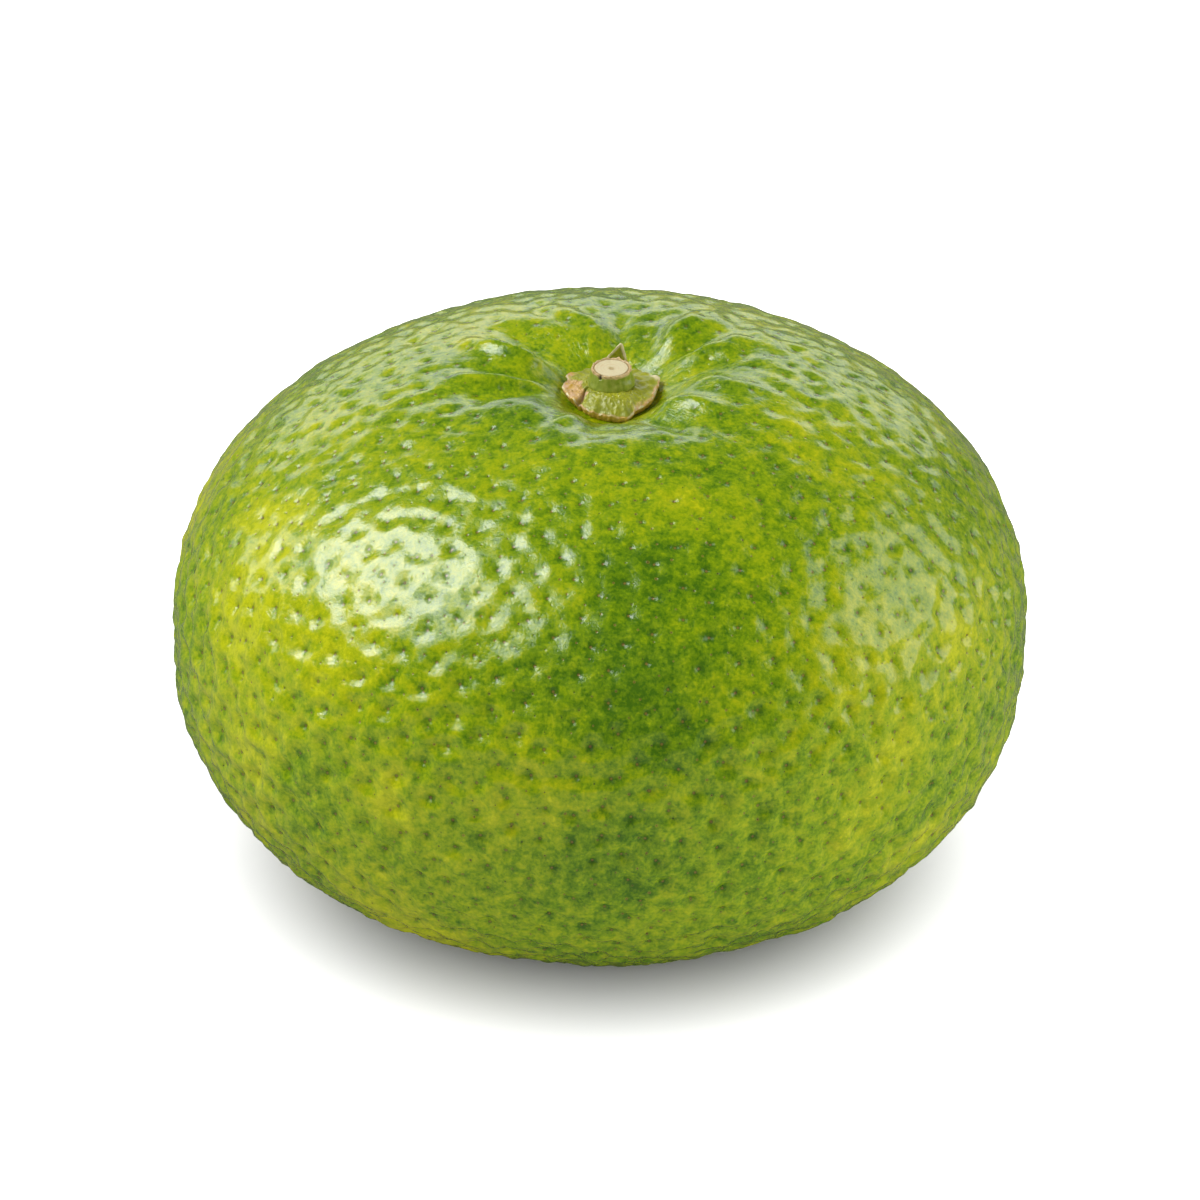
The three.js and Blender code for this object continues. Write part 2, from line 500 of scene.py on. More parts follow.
def smoothstep(low: float, high: float, value: Any) -> Any:
    """Go smoothly from 0, at low, to 1, at high."""
    share = np.clip((value - low) / (high - low), 0.0, 1.0)
    return share * share * (3.0 - 2.0 * share)


def degrees_apart(first: Any, second: Any) -> Any:
    """Return the shortest way from the second angle to the first, in degrees."""
    return (first - second + 180.0) % 360.0 - 180.0


class Ripple:
    """Smooth pseudo-random height over space, the same on each run: a sum of slanted waves."""

    def __init__(self, size: float, seed: int, waves: int = 24) -> None:
        """Choose the waves.

        Args:
            size: About how long a wave is, in millimetres.
            seed: Fixes the choice.
            waves: How many are added.
        """
        draw = np.random.default_rng(seed)
        heading = draw.normal(size=(waves, 3))
        heading /= np.linalg.norm(heading, axis=1)[:, None]
        self.turns = heading * (2.0 * math.pi / size) * draw.uniform(0.6, 1.7, (waves, 1))
        self.starts = draw.uniform(0.0, 2.0 * math.pi, waves)
        self.share = math.sqrt(2.0 / waves) * 0.6

    def at(self, points: np.ndarray) -> np.ndarray:
        """Return the height at each point, from about -1 to 1."""
        return np.sin(points @ self.turns.T + self.starts).sum(axis=-1) * self.share


class Skin:
    """A closed grid of points, from which a mesh is made: rows around, columns along."""

    def __init__(self, points: np.ndarray, first_pole: bool, last_pole: bool) -> None:
        """Take the points.

        Args:
            points: Rows by columns by 3, in millimetres, each row a closed ring.
            first_pole: Whether the first row is closed by one point in its middle.
            last_pole: Whether the last row is closed by one point in its middle. Rows with no
                poles join the last row to the first.
        """
        self.points = points
        self.first_pole = first_pole
        self.last_pole = last_pole
        self.masks: dict[str, np.ndarray] = {}

    def faces(self, start: int) -> list[tuple[int, ...]]:
        """Join the points.

        Args:
            start: The number of the first point. The poles come last.

        Returns:
            The faces, as the numbers of their points.
        """
        rows, columns, _ = self.points.shape
        faces = []
        closed = not (self.first_pole or self.last_pole)
        for row in range(rows if closed else rows - 1):
            below, above = start + row * columns, start + (row + 1) % rows * columns
            for column in range(columns):
                turned = (column + 1) % columns
                faces.append((below + column, below + turned, above + turned, above + column))
        middle = start + rows * columns
        for row, backwards in self.poles():
            for column in range(columns):
                pair = (start + row * columns + column, start + row * columns + (column + 1) % columns)
                faces.append((*(pair[::-1] if backwards else pair), middle))
            middle += 1
        return faces

    def poles(self) -> list[tuple[int, bool]]:
        """Return each row that is closed by a point, and whether its faces run backwards."""
        last = len(self.points) - 1
        wanted = ((self.first_pole, 0, True), (self.last_pole, last, False))
        return [(row, backwards) for has, row, backwards in wanted if has]

    def spread(self, values: np.ndarray) -> np.ndarray:
        """Flatten values on the grid and add one for each pole, the mean of its row."""
        flat = values.reshape(-1, *values.shape[2:])
        poles = [values[row].mean(axis=0, keepdims=True) for row, _ in self.poles()]
        return np.concatenate((flat, *poles)) if poles else flat


def mesh_from(name: str, skins: tuple[Skin, ...]) -> bpy.types.Mesh:
    """Make one smooth mesh of several skins, with their masks as attributes on its points.

    Args:
        name: The mesh's name.
        skins: The closed skins, all with the same masks.

    Returns:
        The mesh, in metres.
    """
    places: list[tuple[float, ...]] = []
    faces: list[tuple[int, ...]] = []
    for skin in skins:
        faces += skin.faces(len(places))
        places += [tuple(point) for point in skin.spread(skin.points) * METRES]
    mesh = bpy.data.meshes.new(name)
    mesh.from_pydata(places, [], faces)
    for key in skins[0].masks:
        values = np.concatenate([skin.spread(skin.masks[key]) for skin in skins])
        layer = mesh.attributes.new(key, "FLOAT", "POINT")
        layer.data.foreach_set("value", values.astype(np.float32))
    mesh.shade_smooth()
    mesh.update()
    return mesh


def make_piece(name: str, mesh: bpy.types.Mesh, material: bpy.types.Material, node: str) -> bpy.types.Object:
    """Put a finished mesh in the scene in place of its node.

    Args:
        name: The piece's name.
        mesh: Its mesh, in place and in metres.
        material: Its finish.
        node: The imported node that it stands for.

    Returns:
        The new object.
    """
    if not mesh.materials:
        mesh.materials.append(material)
    piece = bpy.data.objects.new(name, mesh)
    bpy.context.scene.collection.objects.link(piece)
    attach(piece, "root")
    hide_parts(node)
    LOG.info("%s: %d faces", name, len(mesh.polygons))
    return piece


# ---------------------------------------------------------------------------------------------
# The fruit
# ---------------------------------------------------------------------------------------------


@dataclass(frozen=True)
class Fold:
    """One radial fold in the peel by the stem: sunk where height is negative."""

    angle: float  # degrees from +X
    height: float
    width: float  # half-width in degrees
    near: float  # distance from the stem where it starts
    far: float  # and where it ends


@dataclass(frozen=True)
class Patch:
    """A soft patch of riper or greener peel."""

    angle: float  # degrees from +X
    level: float  # height above the floor
    radius: float
    ripeness: float


@dataclass
class Fruit:
    """The whole fruit as one skin, with the stem end a little to one side."""

    width: float = 65.0
    crown_height: float = 22.1
    belly_height: float = 21.6
    crown_fullness: float = 2.29
    belly_fullness: float = 2.31
    rest_spot: float = 5.4
    dimple_depth: float = 4.1
    dimple_spread: float = 6.2
    moat_drop: float = 3.25
    moat_radius: float = 3.5
    moat_slope: float = 0.75
    stem_offset: float = STEM_OFFSET
    grid: int = 129  # points along each side of the cube that the skin is blown up from
    gland_gap: float = 1.28
    well_gap: float = 2.1
    well_reach: float = 0.78
    well_depth: float = 0.24
    gland_seed: int = 7
    skin_lift: float = 0.25  # how far the whole skin is raised, to make up for the pits
    swell_height: float = 0.25  # of the broadest unevenness
    lump_height: float = 0.08  # of the lumps on it
    ripple_height: float = 0.20  # and of the small ripples between the glands
    ridge_height: float = 0.62  # of the ridges that run out from the stem
    scar_radius: float = 1.1
    scar_depth: float = 0.35
    ripeness: float = 0.45  # of the peel between the patches
    folds: tuple[Fold, ...] = (
        Fold(300.0, -0.75, 9.0, 3.6, 13.0),
        Fold(200.0, -0.60, 9.0, 3.8, 14.0),
        Fold(176.0, -0.50, 6.0, 4.0, 13.0),
        Fold(137.0, -0.55, 12.0, 3.8, 13.0),
        Fold(80.0, -0.55, 11.0, 3.8, 14.0),
        Fold(35.0, -0.35, 6.0, 4.2, 14.0),
        Fold(8.0, -0.60, 8.0, 3.8, 13.0),
        Fold(158.0, 1.05, 7.0, 3.6, 14.0),
        Fold(189.0, 0.50, 6.0, 4.2, 14.0),
        Fold(105.0, 0.45, 8.0, 4.0, 14.0),
        Fold(52.0, 0.95, 7.0, 4.0, 15.0),
        Fold(22.0, 0.60, 6.5, 4.0, 15.0),
        Fold(345.0, 0.60, 8.0, 4.0, 13.0),
        Fold(322.0, 0.35, 9.0, 4.2, 12.0),
        Fold(268.0, -0.60, 36.0, 2.0, 7.5),
        Fold(272.0, -0.55, 28.0, 4.6, 12.5),
        Fold(275.0, 0.22, 9.0, 5.2, 12.0),
        Fold(250.0, 0.22, 8.0, 5.2, 12.0),
        Fold(222.0, 0.40, 8.0, 4.2, 14.0),
    )
    patches: tuple[Patch, ...] = (
        Patch(207.0, 35.3, 3.8, 0.44),
        Patch(212.0, 29.4, 3.8, 0.35),
        Patch(228.0, 35.0, 6.1, 0.28),
        Patch(231.0, 29.5, 4.6, 0.22),
        Patch(242.0, 22.3, 2.3, 0.45),
        Patch(236.0, 12.0, 4.6, 0.30),
        Patch(189.0, 39.5, 4.6, 0.25),
        Patch(262.0, 25.8, 3.4, 0.15),
        Patch(289.0, 40.6, 2.2, 0.30),
        Patch(338.0, 41.0, 3.1, 0.20),
        Patch(327.0, 28.9, 4.0, 0.44),
        Patch(313.0, 23.2, 2.9, 0.45),
        Patch(305.0, 19.0, 3.4, 0.25),
        Patch(320.0, 13.0, 3.2, 0.42),
        Patch(284.0, 43.5, 2.0, 0.35),
        Patch(139.0, 43.7, 3.1, 0.30),
        Patch(152.0, 42.8, 1.8, 0.35),
        Patch(17.0, 43.4, 2.3, 0.15),
        Patch(202.0, 22.1, 2.6, 0.20),
        Patch(275.0, 31.9, 6.1, -0.32),
        Patch(251.0, 43.2, 4.6, -0.15),
        Patch(275.0, 38.0, 4.6, -0.20),
        Patch(337.0, 43.0, 3.1, -0.12),
        Patch(228.0, 43.0, 3.1, -0.12),
        Patch(273.0, 18.0, 5.0, -0.20),
        Patch(291.0, 16.6, 3.1, -0.12),
        Patch(348.0, 35.6, 3.1, -0.10),
        Patch(204.0, 33.0, 5.0, 0.18),
        Patch(218.0, 27.0, 4.0, 0.12),
        Patch(219.0, 22.5, 4.0, 0.20),
        Patch(218.0, 17.0, 4.0, 0.20),
        Patch(309.0, 31.0, 4.5, 0.25),
        Patch(134.0, 42.3, 5.0, 0.18),
        Patch(174.0, 30.5, 5.0, 0.42),
        Patch(241.0, 6.5, 4.6, 0.55),
        Patch(268.0, 7.0, 4.5, -0.06),
        Patch(286.0, 38.5, 3.5, -0.14),
        Patch(296.0, 5.0, 3.0, 0.18),
        Patch(45.0, 41.0, 4.0, 0.15),
        Patch(40.0, 33.0, 7.0, 0.30),
        Patch(75.0, 25.0, 5.0, 0.35),
        Patch(110.0, 36.0, 6.0, -0.15),
        Patch(130.0, 24.0, 6.0, 0.30),
        Patch(165.0, 30.0, 5.0, -0.10),
        Patch(95.0, 14.0, 6.0, -0.10),
        Patch(30.0, 12.0, 6.0, 0.20),
    )
    finish: WaxyPeel = field(default_factory=WaxyPeel)

    @property
    def radius(self) -> float:
        """Half the width."""
        return self.width / 2.0

    @property
    def equator(self) -> float:
        """Height of the widest level above the floor."""
        share = (self.rest_spot / self.radius) ** self.belly_fullness
        return self.belly_height * (1.0 - share) ** (1.0 / self.belly_fullness)

    def skin_point(self, angle: float, level: float) -> np.ndarray:
        """Find a point on the smooth skin.

        Args:
            angle: Degrees from +X.
            level: Height above the floor.

        Returns:
            The point, in millimetres.
        """
        above = level > self.equator
        height = self.crown_height if above else self.belly_height
        fullness = self.crown_fullness if above else self.belly_fullness
        share = min(abs(level - self.equator) / height, 1.0) ** fullness
        out = self.radius * (1.0 - share) ** (1.0 / fullness)
        turn = math.radians(angle)
        return np.array((out * math.cos(turn), out * math.sin(turn), level))

    def sizes(self) -> dict[str, float]:
        """Return the sizes that the skin's node tree takes, by name."""
        return {
            "Width": self.width,
            "Crown Height": self.crown_height,
            "Belly Height": self.belly_height,
            "Crown Fullness": self.crown_fullness,
            "Belly Fullness": self.belly_fullness,
            "Equator": self.equator,
            "Dimple Depth": self.dimple_depth,
            "Dimple Spread": self.dimple_spread,
            "Stem Offset": self.stem_offset,
            "Gland Gap": self.gland_gap,
            "Well Gap": self.well_gap,
            "Well Reach": self.well_reach,
            "Well Depth": self.well_depth,
        }

    def grow(self) -> bpy.types.NodeTree:
        """Build the node tree that grows the skin."""
        tree = bpy.data.node_groups.new("Peel", "GeometryNodeTree")
        for name, value in self.sizes().items():
            socket = tree.interface.new_socket(name=name, in_out="INPUT", socket_type="NodeSocketFloat")
            socket.default_value = value
        tree.interface.new_socket(name="Gland Seed", in_out="INPUT", socket_type="NodeSocketInt")
        tree.interface.new_socket(name="Finish", in_out="INPUT", socket_type="NodeSocketMaterial")
        tree.interface.new_socket(name="Skin", in_out="OUTPUT", socket_type="NodeSocketGeometry")
        bench = Bench(tree)
        given_node = bench.lay("NodeGroupInput")
        given = {s.name: Field(bench, s) for s in given_node.outputs if s.name}
        body = self.blow_up(bench, given)
        pitted = self.press_glands(bench, given, body)
        smooth = bench.field("GeometryNodeSetShadeSmooth", {"Geometry": pitted})
        metres = bench.field("GeometryNodeTransform", {"Geometry": smooth, "Scale": (METRES,) * 3})
        real = bench.field("GeometryNodeRealizeInstances", {"Geometry": metres})
        dressed = bench.field("GeometryNodeSetMaterial", {"Geometry": real, "Material": given["Finish"]})
        result = bench.lay("NodeGroupOutput")
        tree.links.new(dressed.socket, result.inputs["Skin"])
        return tree

    def blow_up(self, b: Bench, given: dict[str, Field]) -> Field:
        """Blow a cube up into the smooth body, dented at the stem end and flat where it rests.

        Args:
            b: The bench of the skin's tree.
            given: The tree's inputs.

        Returns:
            The body's geometry.
        """
        sides = {"Size": (2.0, 2.0, 2.0), "Vertices X": self.grid, "Vertices Y": self.grid,
                 "Vertices Z": self.grid}
        cube = b.field("GeometryNodeMeshCube", sides)
        corner = b.scaled(b.field("GeometryNodeInputPosition"), math.pi / 4.0)
        heading = b.vector("NORMALIZE", b.vector("TANGENT", corner))
        squash = math.sqrt(self.belly_height / self.radius)
        heading = b.vector("NORMALIZE", b.vector("MULTIPLY", heading, (1.0, 1.0, squash)))
        x, y, z = b.parts(heading)
        above = b.math("GREATER_THAN", z, 0.0)
        below = 1.0 - above
        radius = given["Width"] * 0.5
        height = given["Crown Height"] * above + given["Belly Height"] * below
        fullness = given["Crown Fullness"] * above + given["Belly Fullness"] * below
        flat = b.math("SQRT", x * x + y * y)
        steep = b.math("ABSOLUTE", z)
        stretch = ((flat / radius) ** fullness + (steep / height) ** fullness) ** (-1.0 / fullness)
        out = flat * stretch
        up = z * stretch - above * given["Dimple Depth"] * b.bell(out, given["Dimple Spread"])
        moat = b.math("MAXIMUM", out - self.moat_radius, 0.0) * self.moat_slope
        up = b.math("SMOOTH_MIN", up, moat + (self.crown_height - self.moat_drop), 0.5)
        scar = below * b.bell(out, self.scar_radius) * self.scar_depth
        up = b.math("MAXIMUM", up + given["Equator"], 0.0) + scar
        lean = above * given["Stem Offset"] * b.rise(out, self.moat_radius, radius, 1.0, 0.0)
        place = b.joined(x * stretch + lean, y * stretch, up)
        return b.field("GeometryNodeSetPosition", {"Geometry": cube, "Position": place})

    def relief(self, b: Bench, given: dict[str, Field]) -> Field:
        """Work out how far lumps, folds and wrinkles raise the smooth body.

        Args:
            b: The bench of the skin's tree.
            given: The tree's inputs.

        Returns:
            The height, in millimetres.
        """
        place = b.field("GeometryNodeInputPosition")
        x, y, z = b.parts(place)
        x = x - given["Stem Offset"]
        out = b.math("SQRT", x * x + y * y)
        top = b.rise(z, self.equator, self.equator + 10.0)
        drift = b.noise(place, 7.0) * 0.30
        angle = b.math("ARCTAN2", y, x) + drift
        height = b.noise(place, 14.0, 1.0) * self.swell_height + b.noise(place, 5.0, 1.0) * self.lump_height
        calm = (b.rise(out, 6.0, 16.0, 0.12, 1.0) * top + (1.0 - top)) * b.rise(z, 27.0, 34.0, 1.75, 0.85)
        height = height + b.noise(place, 1.9, 1.0) * calm * self.ripple_height
        for fold in self.folds:
            aside = b.math("WRAP", angle - math.radians(fold.angle), math.pi, -math.pi)
            along = b.rise(out, fold.near, (fold.near + fold.far) * 0.45)
            along = along * b.rise(out, (fold.near + fold.far) * 0.5, fold.far, 1.0, 0.0)
            height = height + top * along * b.bell(aside, math.radians(fold.width)) * fold.height
        streak = b.noise(b.rays(angle, out), 1.25, 0.0)
        near = b.bell(out - 9.0, 5.5) * b.rise(out, 4.2, 6.5) * top
        return height + streak * near * self.ridge_height

    def press_glands(self, b: Bench, given: dict[str, Field], body: Field) -> Field:
        """Scatter oil glands over the body, press each into the skin and note it on the faces.

        Args:
            b: The bench of the skin's tree.
            given: The tree's inputs.
            body: The smooth body.

        Returns:
            The pitted skin.
        """
        settings = {"Mesh": body, "Distance Min": given["Gland Gap"], "Density Max": 4.0,
                    "Seed": given["Gland Seed"]}
        glands = b.field("GeometryNodeDistributePointsOnFaces", settings, "Points",
                         distribute_method="POISSON")
        place = b.field("GeometryNodeInputPosition")
        chance = self.chance(b, 3)
        tint = self.chance(b, 4)
        home = b.field("GeometryNodeSampleNearest", {"Geometry": body, "Sample Position": place},
                       domain="POINT")
        nearest = b.field("GeometryNodeSampleNearest", {"Geometry": glands, "Sample Position": place},
                          domain="POINT")

        def of_gland(value: Field, kind: str, index: Field) -> Field:
            """Read a value of the gland with this index."""
            inputs = {"Geometry": glands, "Value": value, "Index": index}
            return b.field("GeometryNodeSampleIndex", inputs, data_type=kind, domain="POINT")

        own = b.field("GeometryNodeInputIndex")
        is_home = b.field("FunctionNodeCompare", {2: of_gland(home, "INT", nearest), 3: own},
                          data_type="INT", operation="EQUAL")
        centre = of_gland(place, "FLOAT_VECTOR", nearest)
        snapped = b.field("GeometryNodeSetPosition",
                          {"Geometry": body, "Selection": is_home, "Position": centre})
        size = 0.18 + chance ** 2.0 * 0.14
        of_face = b.field("GeometryNodeFieldOnDomain", {"Value": nearest}, data_type="INT", domain="FACE")
        arrow = b.vector("SUBTRACT", place, of_gland(place, "FLOAT_VECTOR", of_face))
        noted = self.note(b, snapped, "gland", arrow, "FLOAT_VECTOR", "CORNER")
        noted = self.note(b, noted, "gland_reach", of_gland(size, "FLOAT", of_face), "FLOAT", "CORNER")
        noted = self.note(b, noted, "gland_tint", of_gland(tint, "FLOAT", of_face), "FLOAT", "CORNER")
        dig = {"Mesh": body, "Distance Min": given["Well Gap"], "Density Max": 2.0,
               "Seed": given["Gland Seed"]}
        wells = b.field("GeometryNodeDistributePointsOnFaces", dig, "Points", distribute_method="POISSON")
        closest = b.field("GeometryNodeSampleNearest", {"Geometry": wells, "Sample Position": place},
                          domain="POINT")
        of_area = b.field("GeometryNodeFieldOnDomain", {"Value": closest}, data_type="INT", domain="FACE")

        def to_well(index: Field) -> Field:
            """Return the arrow from the well with this index to the place."""
            inputs = {"Geometry": wells, "Value": place, "Index": index}
            spot = b.field("GeometryNodeSampleIndex", inputs, data_type="FLOAT_VECTOR", domain="POINT")
            return b.vector("SUBTRACT", place, spot)

        noted = self.note(b, noted, "well", to_well(of_area), "FLOAT_VECTOR", "CORNER")
        dish = b.bell(b.length(to_well(closest)), given["Well Reach"]) * given["Well Depth"]
        away = b.length(b.vector("SUBTRACT", place, centre))
        reach = of_gland(size, "FLOAT", nearest)
        x, y, z = b.parts(place)
        aside = b.length(b.joined(x - given["Stem Offset"], y, 0.0))
        calm = b.rise(aside, 5.0, 15.0, 0.2, 1.0) * b.rise(z, 28.0, 34.5, 1.45, 0.72)
        pit = (b.bell(away, reach) * (reach * 0.30) + b.bell(away, 0.55) * (reach * 0.08) + dish) * calm
        normal = b.field("GeometryNodeInputNormal")
        offset = b.scaled(normal, self.relief(b, given) - pit + self.skin_lift)
        pitted = b.field("GeometryNodeSetPosition", {"Geometry": noted, "Offset": offset})
        settled = b.joined(x, y, b.math("MAXIMUM", z, 0.0))
        return b.field("GeometryNodeSetPosition", {"Geometry": pitted, "Position": settled})

    @staticmethod
    def chance(b: Bench, seed: int) -> Field:
        """Draw a random share for each point.

        Args:
            b: The bench of the skin's tree.
            seed: Fixes the draw.

        Returns:
            The share, from 0 to 1.
        """
        node = b.lay("FunctionNodeRandomValue", {"Seed": seed}, data_type="FLOAT")
        node.inputs[2].default_value = 0.0
        node.inputs[3].default_value = 1.0
        return Field(b, node.outputs[1])

    @staticmethod
    def note(b: Bench, geometry: Field, name: str, value: Field, kind: str, domain: str) -> Field:
        """Store a value under a name."""
        inputs = {"Geometry": geometry, "Name": name, "Value": value}
        return b.field("GeometryNodeStoreNamedAttribute", inputs, data_type=kind, domain=domain)

    def ripen(self, mesh: bpy.types.Mesh) -> None:
        """Write how ripe each point of the skin is, from the patches and broad clouds.

        Args:
            mesh: The skin, in metres.
        """
        count = len(mesh.vertices)
        places = np.empty(count * 3, np.float32)
        mesh.vertices.foreach_get("co", places)
        places = places.reshape(-1, 3).astype(float) / METRES
        ripeness = np.full(count, self.ripeness) + Ripple(16.0, 5).at(places) * 0.05
        ripeness += Ripple(6.0, 9).at(places) * 0.05
        out = np.hypot(places[:, 0] - self.stem_offset, places[:, 1])
        ripeness -= 0.07 * np.exp(-((out - 9.0) / 4.5) ** 2) * smoothstep(34.0, 38.0, places[:, 2])
        wander = np.stack([Ripple(5.0, seed).at(places) for seed in (21, 22, 23)], axis=1) * 1.1
        for patch in self.patches:
            centre = self.skin_point(patch.angle, patch.level)
            away = np.linalg.norm(places + wander - centre, axis=1) / patch.radius
            ripeness += patch.ripeness * np.exp(-away * away)
        layer = mesh.attributes.new("ripeness", "FLOAT", "POINT")
        layer.data.foreach_set("value", ripeness.astype(np.float32))

    def build(self) -> bpy.types.Object:
        """Grow the skin, turn it into a plain mesh and place it."""
        material = self.finish.dress()
        tree = self.grow()
        start = bpy.data.meshes.new("seed")
        host = bpy.data.objects.new("seed", start)
        bpy.context.scene.collection.objects.link(host)
        modifier = host.modifiers.new("Peel", "NODES")
        modifier.node_group = tree
        given = {**self.sizes(), "Gland Seed": self.gland_seed, "Finish": material}
        for item in tree.interface.items_tree:
            if item.name in given:
                modifier[item.identifier] = given[item.name]
        graph = bpy.context.evaluated_depsgraph_get()
        mesh = bpy.data.meshes.new_from_object(
            host.evaluated_get(graph), preserve_all_data_layers=True, depsgraph=graph)
        host.modifiers.remove(modifier)
        bpy.data.objects.remove(host)
        mesh.name = "peel"
        self.ripen(mesh)
        return make_piece("peel", mesh, material, "fruit")


# ---------------------------------------------------------------------------------------------
# The stem end
# ---------------------------------------------------------------------------------------------


@dataclass(frozen=True)
class Edge:
    """One point of the calyx's worn outline."""

    angle: float  # degrees from +X
    reach: float  # distance from the middle
    lift: float  # how far the sepal's edge stands above the disc


@dataclass
class Calyx:
    """The star of five fused sepals in the dimple: four lie flat and one stands up."""

    middle: tuple[float, float] = (STEM_OFFSET, 0.0)
    thickness: float = 0.85
    eye: float = 1.3  # radius of the opening that the stem fills
    columns: int = 420
    rows: int = 70
    outline: tuple[Edge, ...] = (
        Edge(0.0, 3.46, 0.00),
        Edge(12.0, 3.62, 0.02),
        Edge(18.0, 3.90, 0.12),
        Edge(24.0, 4.00, 0.22),
        Edge(30.0, 3.70, 0.14),
        Edge(38.0, 3.55, 0.08),
        Edge(58.0, 3.50, 0.06),
        Edge(72.0, 3.25, 0.06),
        Edge(85.0, 3.30, 0.06),
        Edge(98.0, 3.25, 0.08),
        Edge(115.0, 3.50, 0.10),
        Edge(134.0, 3.55, 0.10),
        Edge(143.0, 3.60, 0.18),
        Edge(149.0, 3.85, 0.30),
        Edge(155.0, 3.75, 0.22),
        Edge(160.0, 3.48, 0.00),
        Edge(166.0, 3.60, -0.06),
        Edge(174.0, 3.75, -0.10),
        Edge(190.0, 3.55, -0.10),
        Edge(207.0, 3.45, -0.10),
        Edge(216.5, 3.42, -0.14),
        Edge(221.0, 3.02, -0.40),
        Edge(226.0, 3.12, -0.36),
        Edge(232.0, 3.30, -0.26),
        Edge(248.0, 3.38, -0.32),
        Edge(264.0, 3.50, -0.38),
        Edge(280.0, 3.72, -0.42),
        Edge(288.0, 4.06, -0.44),
        Edge(295.0, 3.74, -0.34),
        Edge(301.0, 3.62, -0.20),
        Edge(312.0, 3.58, -0.18),
        Edge(325.0, 3.62, -0.10),
        Edge(345.0, 3.44, 0.00),
    )
    crease_angle: float = 219.0
    fold_angle: float = 300.0
    wart_seed: int = 12
    finish: DrySepal = field(default_factory=DrySepal)

    @property
    def underside(self) -> float:
        """Height of the disc's underside above the floor, as packed."""
        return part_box("calyx")[0].z / METRES

    def around(self, angles: np.ndarray, what: str) -> np.ndarray:
        """Read the outline at some angles, a little smoothed.

        Args:
            angles: Degrees from +X.
            what: Which of an edge's numbers is read, reach or lift.

        Returns:
            The number at each angle.
        """
        known = [edge.angle for edge in self.outline]
        values = [getattr(edge, what) for edge in self.outline]
        nearby = (-3.0, -1.5, 0.0, 1.5, 3.0)
        return sum(np.interp(angles + turn, known, values, period=360.0) for turn in nearby) / len(nearby)

    def warts(self, x: np.ndarray, y: np.ndarray) -> np.ndarray:
        """Scatter small warts on the front and left sepals.

        Args:
            x: Places across the disc.
            y: Places along it.

        Returns:
            How far the warts raise each place.
        """
        draw = np.random.default_rng(self.wart_seed)
        height = np.zeros_like(x)
        for _ in range(320):
            angle = math.radians(draw.uniform(150.0, 330.0))
            out = draw.uniform(1.9, 3.6)
            size = draw.uniform(0.05, 0.11)
            tall = draw.uniform(0.4, 0.75) * size
            away = ((x - out * math.cos(angle)) ** 2 + (y - out * math.sin(angle)) ** 2) / size ** 2
            height += tall * np.exp(-away)
        return height

    def top(self, x: np.ndarray, y: np.ndarray, share: np.ndarray) -> tuple[np.ndarray, np.ndarray]:
        """Work out the top's height above the underside, and how deep in shade it lies.

        Args:
            x: Places across the disc.
            y: Places along it.
            share: How far out each place is, from 0 in the middle to 1 at the edge.

        Returns:
            The height, and the depth of the shade from 0 to 1.
        """
        angle = np.degrees(np.arctan2(y, x)) % 360.0
        out = np.hypot(x, y)
        height = self.thickness + self.around(angle, "lift") * smoothstep(0.45, 1.0, share)
        front = smoothstep(222.0, 232.0, angle) * smoothstep(322.0, 290.0, angle)
        height += front * (0.20 * np.sin(np.pi * np.clip(share, 0, 1)) - 0.26 * smoothstep(0.76, 1.0, share))
        left = smoothstep(152.0, 170.0, angle) * smoothstep(219.5, 217.0, angle)
        height += left * 0.06 * smoothstep(0.5, 0.9, share)
        swing = self.crease_angle - 20.0 * smoothstep(3.0, 1.6, out)
        crease = np.exp(-(degrees_apart(angle, swing) / 3.2) ** 2) * smoothstep(1.5, 2.2, out)
        height -= crease * 0.34
        fold = np.exp(-(degrees_apart(angle, self.fold_angle) / 1.8) ** 2) * smoothstep(2.1, 3.3, out)
        height += fold * 0.07
        spread = np.stack((x, y, np.zeros_like(x)), axis=-1)
        height += Ripple(0.9, 31).at(spread) * 0.05 + Ripple(0.28, 32).at(spread) * 0.010
        height += self.warts(x, y)
        height += 0.26 * smoothstep(3.3, 1.7, out)
        return height, crease * smoothstep(1.6, 2.0, out)

    def star(self) -> Skin:
        """Make the flat star: top, torn edge, underside and eye, as one closed skin."""
        angles = np.linspace(0.0, 360.0, self.columns, endpoint=False)
        turns = np.radians(angles)
        torn = Ripple(0.7, 41).at(np.stack((np.cos(turns), np.sin(turns), turns * 0), axis=-1) * 3.5)
        reach = self.around(angles, "reach") + torn * 0.045
        inward = np.linspace(0.0, 1.0, self.rows)
        out = self.eye + (reach - self.eye) * inward[:, None]
        x, y = out * np.cos(turns), out * np.sin(turns)
        share = np.repeat(inward[:, None], self.columns, axis=1)
        height, shade = self.top(x, y, share)
        rounding = 0.10 * smoothstep(0.93, 1.0, share) ** 2
        top = np.stack((x, y, height - rounding), axis=-1)
        rim = top[-1]
        steps = np.linspace(0.0, 1.0, 16)[1:]
        side = []
        for step in steps:
            ring = rim.copy()
            foot = np.minimum(rim[:, 2] - 0.62, 0.0)
            ring[:, 2] = rim[:, 2] * (1.0 - step) + foot * step
            wave = Ripple(0.45, 51).at(ring) * 0.045 - 0.10 * math.sin(math.pi * step * 0.8)
            tuck = 1.0 + (wave + 0.05 * math.sin(math.pi * step)) / reach - 0.08 * step ** 2
            ring[:, :2] = rim[:, :2] * tuck[:, None]
            side.append(ring)
        under = []
        for step in np.linspace(0.0, 1.0, 8)[1:]:
            ring = side[-1].copy()
            flat = np.hypot(ring[:, 0], ring[:, 1])
            ring[:, :2] *= ((flat + (self.eye - flat) * step) / flat)[:, None]
            under.append(ring)
